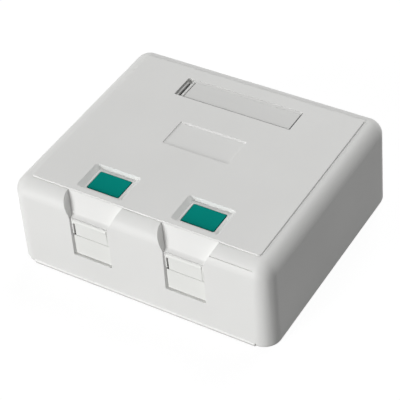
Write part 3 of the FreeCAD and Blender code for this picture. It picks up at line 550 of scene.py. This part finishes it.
@dataclass
class Finishes:
    """Every finish of the box, each made once."""

    made: dict[str, bpy.types.Material] = field(default_factory=dict)

    def build(self) -> None:
        """Make the materials."""
        recipes = (
            MouldedPlastic("cover_plastic", (0.80, 0.80, 0.785), roughness=0.55),
            MouldedPlastic("base_plastic", (0.74, 0.74, 0.72), grain_height=0.014 * MM),
            MouldedPlastic("flap_plastic", (0.82, 0.825, 0.80), roughness=0.5),
            MouldedPlastic("icon_plastic", (0.0, 0.275, 0.23), roughness=0.6, tone_change=0.03,
                           specular=0.02),
            MouldedPlastic("jack_plastic", (0.68, 0.68, 0.65), roughness=0.22, coat=0.2),
            MouldedPlastic("terminal_plastic", (0.70, 0.70, 0.67), roughness=0.24, coat=0.2),
            MouldedPlastic("cap_plastic", (0.76, 0.76, 0.74), roughness=0.24, coat=0.2),
            MilkyPlastic("window_plastic", (0.79, 0.79, 0.775)),
            CardPaper("label_paper", (0.88, 0.88, 0.87)),
            # Painted highlight: a near-white glossy strip that stands in for the bright line along the
            # front lip.
            MouldedPlastic("lip_painted_highlight", (0.97, 0.97, 0.96), roughness=0.2, coat=0.7),
            # Painted shade: a darker grey for the base's edge strip, standing in for the shadow under
            # the front lip.
            MouldedPlastic("base_edge_painted_shade", (0.62, 0.62, 0.60)),
            # Painted shade: grey and near-black plastics laid where gaps, grooves and a slot wall fall
            # into shadow.
            MouldedPlastic("groove_shade", (0.42, 0.42, 0.41)),
            MouldedPlastic("gap_shade", (0.06, 0.06, 0.06), specular=0.1),
            PlatedMetal("screw_steel", (0.62, 0.62, 0.60)),
            PlatedMetal("contact_gold", (0.90, 0.66, 0.24), roughness=0.16),
            PlatedMetal("blade_tin", (0.70, 0.70, 0.67), roughness=0.3),
            BoardLaminate("board_laminate", (0.02, 0.17, 0.06)),
        )
        for recipe in recipes:
            self.made[recipe.name] = recipe.material()

    def named(self, name: str) -> bpy.types.Material:
        """Return the finish of a name."""
        return self.made[name]


class SubAssembly(Protocol):
    """What every sub-assembly of the box can do."""

    def build(self, nodes: Nodes, finishes: Finishes) -> Pieces:
        """Make or dress the pieces and return them."""


@dataclass
class CoverShell:
    """The moulded cover."""

    edge_radius: float = 0.22 * MM

    def build(self, nodes: Nodes, finishes: Finishes) -> Pieces:
        """Soften the cover's edges and dress it."""
        copy = SoftenedCopy("cover", "cover", "cover_plastic", self.edge_radius)
        return [copy.build(nodes["cover"], finishes.named("cover_plastic"))]


@dataclass
class DustFlap:
    """One hinged flap."""

    side: Side
    edge_radius: float = 0.15 * MM

    def build(self, nodes: Nodes, finishes: Finishes) -> Pieces:
        """Soften the flap's edges and dress it.

        Args:
            nodes: the CAD pieces by name.
            finishes: the finishes of the box.

        Returns:
            The flap.
        """
        name = "dust_flap_" + self.side.value
        copy = SoftenedCopy(name, "flap_" + self.side.value, "flap_plastic", self.edge_radius)
        return [copy.build(nodes[name], finishes.named("flap_plastic"))]


@dataclass
class HingeRoll:
    """The rounded brow of one flap, the fine edges of its neck and a near-black bar of painted shade
    in its groove, which turn with the flap.

    Every size is measured from the hinge's axis.
    """

    side: Side
    axis: Point
    half_width: float = 5.68 * MM
    jamb: float = 5.6 * MM
    jamb_end: float = 5.78 * MM
    jamb_front: float = 0.845 * MM
    jamb_back: float = 0.4 * MM
    cheek_end: float = 6.15 * MM
    cheek_back: float = 0.765 * MM
    cheek_top: float = 0.95 * MM
    neck_length: float = 4.75 * MM
    groove: float = 0.28 * MM
    groove_front: float = 0.62 * MM
    groove_half: float = 6.0 * MM
    radius: float = 1.04 * MM
    core: float = 0.6 * MM
    neck: float = 0.85 * MM
    neck_drop: float = 0.5 * MM
    first_deg: float = -12.0
    last_deg: float = 100.0
    steps: int = 20

    def outline(self) -> Outline:
        """Draw the brow's section, from the neck up over the hinge.

        Returns:
            Its corners in Y and Z.
        """
        _, y, z = self.axis
        corners = [(y - self.core, z - self.neck_drop), (y - self.neck, z - self.neck_drop)]
        for step in range(self.steps + 1):
            turn = math.radians(self.first_deg
                                + (self.last_deg - self.first_deg) * step / self.steps)
            corners.append((y - self.radius * math.cos(turn), z + self.radius * math.sin(turn)))
        return corners

    def build(self, nodes: Nodes, finishes: Finishes) -> Pieces:
        """Lay the brow over the flap's barrel, and the strips along its neck, one of them a near-black
        bar of painted shade in the groove.

        Args:
            nodes: the CAD pieces by name; not used.
            finishes: the finishes of the box.

        Returns:
            The brow and the three strips.
        """
        x, y, z = self.axis
        side = self.side.value
        brow = drawn_out("flap_brow_" + side, self.outline(), x - self.half_width,
                         x + self.half_width)
        smooth(brow)
        foot = z - self.neck_length
        edge = bar("flap_jamb_" + side, (x + self.jamb, y - self.jamb_front, foot),
                   (x + self.jamb_end, y - self.jamb_back, z))
        cheek = bar("flap_cheek_" + side, (x + self.jamb, y - self.jamb_front, foot),
                    (x + self.cheek_end, y - self.cheek_back, z - self.cheek_top))
        # Painted shade: a near-black bar that darkens the groove between the neck and the panel.
        groove = bar("flap_groove_" + side,
                     (x - self.groove_half, y - self.groove_front, foot - self.groove),
                     (x + self.groove_half, y - self.jamb_back, foot))
        return [lay(piece, finishes.named(finish), "flap_" + side)
                for piece, finish in ((brow, "flap_plastic"), (edge, "flap_plastic"),
                                      (cheek, "flap_plastic"), (groove, "gap_shade"))]


@dataclass
class ScoopFoot:
    """The soft hollow that leads from a scoop's back wall down to the flap's brow.

    Its corners are given in Y and Z from the hinge's axis.
    """

    side: Side
    axis: Point
    half_width: float = 6.57 * MM
    front: Corner = (-0.77 * MM, 1.12 * MM)
    bend: Corner = (0.369 * MM, 1.777 * MM)
    wall: Corner = (0.67 * MM, 2.3 * MM)
    inside: Corner = (0.9 * MM, 1.12 * MM)
    steps: int = 10

    def outline(self) -> Outline:
        """Draw the section: a curve from the front edge up to the wall, and the hidden back.

        Returns:
            Its corners in Y and Z.
        """
        corners = []
        for step in range(self.steps + 1):
            share = step / self.steps
            weights = ((1 - share) ** 2, 2 * share * (1 - share), share ** 2)
            corners.append(tuple(sum(weight * value for weight, value in zip(weights, values))
                                 for values in zip(self.front, self.bend, self.wall)))
        corners.append(self.inside)
        return [(self.axis[1] + y, self.axis[2] + z) for y, z in corners]

    def build(self, nodes: Nodes, finishes: Finishes) -> Pieces:
        """Lay the hollow across the foot of the scoop.

        Args:
            nodes: the CAD pieces by name; not used.
            finishes: the finishes of the box.

        Returns:
            The hollow.
        """
        x = self.axis[0]
        piece = drawn_out("scoop_foot_" + self.side.value, self.outline(), x - self.half_width,
                          x + self.half_width)
        smooth(piece)
        return [lay(piece, finishes.named("cover_plastic"), "cover")]


@dataclass
class FrontFoot:
    """A glossy strip on the top of the cover's front lip, made near-white as a painted highlight, and
    the base's edge below it, made darker as painted shade.
    """

    corner: float = 5.55 * MM
    lip_edge: float = 0.1 * MM
    lip_depth: float = 0.34 * MM
    lip_skin: float = 0.015 * MM
    lip_start: float = 0.05 * MM
    edge_set_back: float = 0.3 * MM
    edge_depth: float = 0.5 * MM
    edge_height: float = 0.7 * MM

    def build(self, nodes: Nodes, finishes: Finishes) -> Pieces:
        """Lay the two strips along the front.

        Args:
            nodes: the CAD pieces by name; not used.
            finishes: the finishes of the box.

        Returns:
            The two strips.
        """
        low, high = (Vector(corner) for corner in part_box("cover"))
        half = high.x - self.corner
        start, end = self.lip_start, self.lip_depth
        foot = low.z + self.lip_edge
        lip = [(low.y + start - self.lip_skin, foot + start + self.lip_skin),
               (low.y + end - self.lip_skin, foot + end + self.lip_skin),
               (low.y + end + self.lip_skin, foot + end - self.lip_skin),
               (low.y + start + self.lip_skin, foot + start - self.lip_skin)]
        # Painted highlight: the lip's strip is near-white to stand in for the bright line along the
        # lip.
        gloss_and_highlight = drawn_out("lip_painted_highlight", lip, -half, half)
        front = low.y + self.edge_set_back
        # Painted shade: the base's edge strip is darker grey to stand in for the shadow under the lip.
        edge = bar("base_front_edge_shade", (-half, front, 0.0),
                   (half, front + self.edge_depth, self.edge_height))
        return [lay(gloss_and_highlight, finishes.named("lip_painted_highlight"), "cover"),
                lay(edge, finishes.named("base_edge_painted_shade"), "base")]


@dataclass
class LabelSeams:
    """Grey and near-black strips of painted shade in the gaps round the label window and on the nail
    slot's wall, and the window's skirt at the back.
    """

    skin: float = 0.03 * MM
    spare: float = 0.02 * MM
    channel: float = 1.1 * MM
    channel_floor: float = 0.3 * MM
    nail_slot: float = 0.5 * MM
    nail_floor: float = 0.3 * MM
    nail_top: float = 0.1 * MM
    groove_x: float = 1.15 * MM
    groove: float = 0.3 * MM
    end_lap: float = 0.1 * MM
    end_rise: float = 0.01 * MM
    end_width: float = 0.31 * MM
    bevel: float = 0.6 * MM
    skirt: float = 0.85 * MM
    skirt_rise: float = 0.12 * MM
    skirt_height: float = 0.5 * MM

    def build(self, nodes: Nodes, finishes: Finishes) -> Pieces:
        """Lay the strips in their gaps.

        Args:
            nodes: the CAD pieces by name; not used.
            finishes: the finishes of the box.

        Returns:
            The strips.
        """
        (x0, y0, z0), (x1, y1, z1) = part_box("label_window")
        left = x0 - self.channel
        slot_wall = left - self.nail_slot
        groove = x0 + self.groove_x
        # All four strips are painted shade: dark sheets laid where the gaps and the slot's wall fall
        # into shadow.
        places = (
            ("channel_floor", "cover", "gap_shade", (left + self.spare, y0, z0 - self.channel_floor),
             (x0 - self.spare, y1, z0 - self.channel_floor + self.skin)),
            ("nail_wall", "cover", "groove_shade", (slot_wall, y0, z0 + self.nail_floor + self.skin),
             (slot_wall + self.skin, y1, z1 + self.nail_top)),
            ("window_groove", "label_window", "gap_shade",
             (groove + self.spare, y0 + self.spare, z1 - self.groove),
             (groove + self.groove - self.spare, y1 - self.spare, z1 - self.groove + self.skin)),
            ("window_end", "label_window", "gap_shade", (x1 - self.end_lap, y0 + self.spare, z0),
             (x1 + self.end_width, y1 - self.spare, z1 + self.end_rise)),
        )
        pieces = [lay(bar(name, low, high), finishes.named(finish), body)
                  for name, body, finish, low, high in places]
        foot = z1 - self.skirt_height
        skirt = drawn_out("window_skirt", ((y1 - self.spare, foot), (y1 + self.skirt, foot),
                                           (y1 + self.skirt, z1 + self.skirt_rise),
                                           (y1 - self.spare, z1)), x0 + self.bevel, x1)
        pieces.append(lay(skirt, finishes.named("window_plastic"), "label_window"))
        return pieces


@dataclass
class IconInsert:
    """One green insert in its pocket."""

    side: Side
    edge_radius: float = 0.12 * MM

    def build(self, nodes: Nodes, finishes: Finishes) -> Pieces:
        """Soften the insert's edges and dress it.

        Args:
            nodes: the CAD pieces by name.
            finishes: the finishes of the box.

        Returns:
            The insert.
        """
        name = "icon_insert_" + self.side.value
        copy = SoftenedCopy(name, "cover", "icon_plastic", self.edge_radius)
        return [copy.build(nodes[name], finishes.named("icon_plastic"))]


@dataclass
class LabelStrip:
    """The milky window and the card under it."""

    edge_radius: float = 0.12 * MM

    def build(self, nodes: Nodes, finishes: Finishes) -> Pieces:
        """Soften the window's edges and dress it and the card.

        Args:
            nodes: the CAD pieces by name.
            finishes: the finishes of the box.

        Returns:
            The window and the card.
        """
        copy = SoftenedCopy("label_window", "label_window", "window_plastic", self.edge_radius)
        window = copy.build(nodes["label_window"], finishes.named("window_plastic"))
        card = nodes["label_card"]
        dress(card, finishes.named("label_paper"))
        return [window, card]


@dataclass
class InnerWorks:
    """What the cover hides: base, jacks, boards, terminals, caps and cover screws."""

    finish_names: dict[str, str] = field(default_factory=lambda: {
        "base_plate": "base_plastic",
        "jack_housing": "jack_plastic",
        "jack_contacts": "contact_gold",
        "jack_board": "board_laminate",
        "terminal_block": "terminal_plastic",
        "terminal_blades": "blade_tin",
        "wire_cap": "cap_plastic",
        "cover_screw": "screw_steel",
    })

    def build(self, nodes: Nodes, finishes: Finishes) -> Pieces:
        """Dress each inner node with its own finish.

        Args:
            nodes: the CAD pieces by name.
            finishes: the finishes of the box.

        Returns:
            The dressed nodes.
        """
        dressed = []
        for name, node in nodes.items():
            kind = name.rsplit("_", 1)[0] if name.endswith(("_left", "_right")) else name
            if kind in self.finish_names:
                dress(node, finishes.named(self.finish_names[kind]))
                smooth(node)
                dressed.append(node)
        return dressed


def world_points(piece: bpy.types.Object) -> list[Vector]:
    """Return a piece's vertices in the world's frame."""
    return [piece.matrix_world @ vertex.co for vertex in piece.data.vertices]


def feet(piece: bpy.types.Object, height: float) -> list[Vector]:
    """Find where the separate wires of a piece end below.

    Args:
        piece: the mesh that holds the wires.
        height: how far above its lowest point a wire's end may reach.

    Returns:
        The middle of each wire's lower end.
    """
    points = world_points(piece)
    lowest = min(point.z for point in points)
    groups: dict[tuple[int, int], list[Vector]] = {}
    for point in points:
        if point.z < lowest + height:
            cell = (round(point.x / WIRE_CELL[0]), round(point.y / WIRE_CELL[1]))
            groups.setdefault(cell, []).append(point)
    return [sum(group, Vector()) / len(group) for group in groups.values()]


def revolve(sheet: bmesh.types.BMesh, middle: Vector, outline: Outline, steps: int) -> None:
    """Add a form turned about a vertical axis.

    Args:
        sheet: the bmesh it is added to.
        middle: a point on the axis, at the outline's zero height.
        outline: radius and height of each ring, from one end to the other.
        steps: the number of corners in a ring.
    """
    rings = []
    for radius, height in outline:
        turns = [math.tau * step / steps for step in range(steps)]
        rings.append([sheet.verts.new(middle + Vector((radius * math.cos(turn),
                                                       radius * math.sin(turn), height)))
                      for turn in turns])
    for lower, upper in zip(rings, rings[1:]):
        for step in range(steps):
            after = (step + 1) % steps
            sheet.faces.new((lower[step], lower[after], upper[after], upper[step]))
    sheet.faces.new(rings[0][::-1])
    sheet.faces.new(rings[-1])


@dataclass
class SolderJoints:
    """The solder under one jack board, a hollow-sided cone round each wire."""

    side: Side
    foot_radius: float = 0.48 * MM
    tip_radius: float = 0.2 * MM
    length: float = 0.7 * MM
    wire_end: float = 0.1 * MM
    smooth_deg: float = 50.0
    rings: int = 5
    steps: int = 16

    def outline(self) -> Outline:
        """Draw the cone's side, steep at the wire and flat at the board.

        Returns:
            The radius and the height of each ring.
        """
        rings = []
        for index in range(self.rings):
            share = index / (self.rings - 1)
            radius = self.foot_radius + (self.tip_radius - self.foot_radius) * math.sqrt(share)
            rings.append((radius, -self.length * share))
        return rings

    def build(self, nodes: Nodes, finishes: Finishes) -> Pieces:
        """Set a joint round each wire that comes through the board.

        Args:
            nodes: the CAD pieces by name.
            finishes: the finishes of the box.

        Returns:
            All the joints of the board, as one piece.
        """
        board = nodes["jack_board_" + self.side.value]
        bottom = min(point.z for point in world_points(board))
        sheet = bmesh.new()
        for kind in ("jack_contacts_", "terminal_blades_"):
            for foot in feet(nodes[kind + self.side.value], self.wire_end):
                revolve(sheet, Vector((foot.x, foot.y, bottom)), self.outline(), self.steps)
        bmesh.ops.recalc_face_normals(sheet, faces=sheet.faces)
        piece = mesh_object("solder_" + self.side.value, sheet)
        smooth(piece, self.smooth_deg)
        return [lay(piece, finishes.named("blade_tin"), "base")]


@dataclass
class ScrewThread:
    """The thread on the shank of one cover screw."""

    side: Side
    pitch: float = 1.1 * MM
    height: float = 0.06 * MM
    flank: float = 0.2 * MM
    head_height: float = 1.7 * MM
    plain_length: float = 1.6 * MM
    point_length: float = 1.2 * MM
    shank_radius: float = 1.45 * MM
    steps: int = 28

    def build(self, nodes: Nodes, finishes: Finishes) -> Pieces:
        """Wind the thread round the shank.

        Args:
            nodes: the CAD pieces by name; not used.
            finishes: the finishes of the box.

        Returns:
            The thread.
        """
        low, high = (Vector(corner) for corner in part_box("cover_screw_" + self.side.value))
        axis = (low + high) / 2
        top = high.z - self.head_height - self.plain_length
        bottom = low.z + self.point_length
        count = int((top - bottom) / self.pitch * self.steps)
        sheet = bmesh.new()
        rows = []
        for index in range(count + 1):
            turn = math.tau * index / self.steps
            z = bottom + self.pitch * index / self.steps
            swell = min(1.0, index / self.steps, (count - index) / self.steps)
            profile = ((0.0, -self.flank), (self.height * swell, 0.0), (0.0, self.flank))
            rows.append([sheet.verts.new((axis.x + (self.shank_radius + out) * math.cos(turn),
                                          axis.y + (self.shank_radius + out) * math.sin(turn), z + up))
                         for out, up in profile])
        for before, after in zip(rows, rows[1:]):
            for edge in range(len(before) - 1):
                sheet.faces.new((before[edge], after[edge], after[edge + 1], before[edge + 1]))
        bmesh.ops.recalc_face_normals(sheet, faces=sheet.faces)
        piece = mesh_object("screw_thread_" + self.side.value, sheet)
        return [lay(piece, finishes.named("screw_steel"), "cover")]


@dataclass(frozen=True)
class Lamp:
    """A broad far lamp, placed by its turn from the front towards the left and its rise."""

    name: str
    turn_deg: float
    rise_deg: float
    spread_deg: float
    strength: float

    def build(self) -> None:
        """Hang the lamp in its place."""
        turn, rise = math.radians(self.turn_deg), math.radians(self.rise_deg)
        towards = Vector((-math.sin(turn) * math.cos(rise), -math.cos(turn) * math.cos(rise),
                          math.sin(rise)))
        data = bpy.data.lights.new(self.name, "SUN")
        data.energy = self.strength
        data.angle = math.radians(self.spread_deg)
        lamp = bpy.data.objects.new(self.name, data)
        lamp.rotation_euler = towards.to_track_quat("Z", "Y").to_euler()
        bpy.context.scene.collection.objects.link(lamp)


@dataclass
class Studio:
    """Floor, world, lamps and camera."""

    lens_mm: float = 138.25
    nearest: float = 0.01
    camera_place: Point = (0.1916, -0.2840, 0.3158)
    camera_right: Point = (0.8582, 0.5086, -0.0700)
    camera_up: Point = (-0.2955, 0.6009, 0.7427)
    ambient: float = 0.22
    lamps: tuple[Lamp, ...] = (
        Lamp("key", turn_deg=23.0, rise_deg=9.5, spread_deg=34.0, strength=3.00),
        Lamp("back", turn_deg=180.0, rise_deg=48.0, spread_deg=36.0, strength=1.43),
    )
    floor_half: float = 4.0
    floor_drop: float = 0.02 * MM
    floor_glow: float = 0.92
    floor_colour: Colour = (0.14, 0.14, 0.14)
    floor_bounce: Colour = (0.21, 0.21, 0.21)

    def build(self) -> None:
        """Set the whole studio up."""
        self.place_camera()
        self.light_world()
        for lamp in self.lamps:
            lamp.build()
        self.lay_floor()
        bpy.context.scene.view_settings.view_transform = "Standard"

    def place_camera(self) -> None:
        """Put the camera where the photograph was taken from."""
        data = bpy.data.cameras.new("camera")
        data.lens = self.lens_mm
        data.clip_start = self.nearest
        camera = bpy.data.objects.new("camera", data)
        right = Vector(self.camera_right).normalized()
        back = right.cross(Vector(self.camera_up)).normalized()
        up = back.cross(right)
        turn = Matrix((right, up, back)).transposed().to_4x4()
        camera.matrix_world = Matrix.Translation(self.camera_place) @ turn
        bpy.context.scene.collection.objects.link(camera)
        bpy.context.scene.camera = camera

    def light_world(self) -> None:
        """Give an even world light, white where the camera or a mirror sees it."""
        world = bpy.data.worlds.new("studio")
        bpy.context.scene.world = world
        world.use_nodes = True
        tree = world.node_tree
        tree.nodes.clear()
        output = tree.nodes.new("ShaderNodeOutputWorld")
        mix = tree.nodes.new("ShaderNodeMixShader")
        seen = tree.nodes.new("ShaderNodeBackground")
        seen.inputs["Color"].default_value = WHITE
        lighting = tree.nodes.new("ShaderNodeBackground")
        lighting.inputs["Color"].default_value = WHITE
        lighting.inputs["Strength"].default_value = self.ambient
        tree.links.new(self.plainly_seen(tree), mix.inputs["Fac"])
        tree.links.new(lighting.outputs[0], mix.inputs[1])
        tree.links.new(seen.outputs[0], mix.inputs[2])
        tree.links.new(mix.outputs[0], output.inputs["Surface"])

    def plainly_seen(self, tree: bpy.types.NodeTree) -> bpy.types.NodeSocket:
        """Add the nodes that tell camera, mirror and see-through rays from the rest.

        Args:
            tree: the node tree to add them to.

        Returns:
            A socket that is 1 for such a ray and 0 for any other.
        """
        path = tree.nodes.new("ShaderNodeLightPath")
        sockets = [path.outputs[name] for name in ("Is Camera Ray", "Is Glossy Ray",
                                                   "Is Transmission Ray")]
        total = sockets[0]
        for socket in sockets[1:]:
            larger = tree.nodes.new("ShaderNodeMath")
            larger.operation = "MAXIMUM"
            tree.links.new(total, larger.inputs[0])
            tree.links.new(socket, larger.inputs[1])
            total = larger.outputs[0]
        return total

    def lay_floor(self) -> None:
        """Lay a pale floor that stays white to the camera and keeps a soft shadow."""
        sheet = bmesh.new()
        bmesh.ops.create_grid(sheet, x_segments=2, y_segments=2, size=self.floor_half)
        floor = mesh_object("studio_floor", sheet)
        floor.location.z = -self.floor_drop
        draft = NodeDraft("studio_floor")
        matt = draft.add("ShaderNodeBsdfDiffuse", {"Color": (*self.floor_colour, 1.0)})
        glow = draft.add("ShaderNodeEmission", {"Strength": self.floor_glow})
        both = draft.add("ShaderNodeAddShader")
        draft.link(matt.outputs[0], both.inputs[0])
        draft.link(glow.outputs[0], both.inputs[1])
        pale = draft.add("ShaderNodeBsdfDiffuse", {"Color": (*self.floor_bounce, 1.0)})
        mix = draft.add("ShaderNodeMixShader")
        draft.link(self.plainly_seen(draft.tree), mix.inputs["Fac"])
        draft.link(pale.outputs[0], mix.inputs[1])
        draft.link(both.outputs[0], mix.inputs[2])
        dress(floor, draft.finish(mix))


def main() -> None:
    """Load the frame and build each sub-assembly around it."""
    logging.basicConfig(level=logging.INFO, format="%(name)s: %(message)s")
    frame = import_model()
    nodes = frame["nodes"]
    finishes = Finishes()
    finishes.build()
    hinges = {joint["name"]: tuple(joint["pos_m"]) for joint in frame["joints"]
              if joint["type"] == "hinge"}
    assemblies: list[SubAssembly] = [CoverShell(), FrontFoot(), LabelStrip(), LabelSeams(),
                                     InnerWorks()]
    for side in Side:
        hinge = hinges["flap_" + side.value + "_hinge"]
        assemblies += [DustFlap(side), HingeRoll(side, hinge), ScoopFoot(side, hinge),
                       IconInsert(side), SolderJoints(side), ScrewThread(side)]
    for assembly in assemblies:
        for piece in assembly.build(nodes, finishes):
            LOG.info("%s: %s", type(assembly).__name__, piece.name)
    Studio().build()


if __name__ == "__main__":
    main()
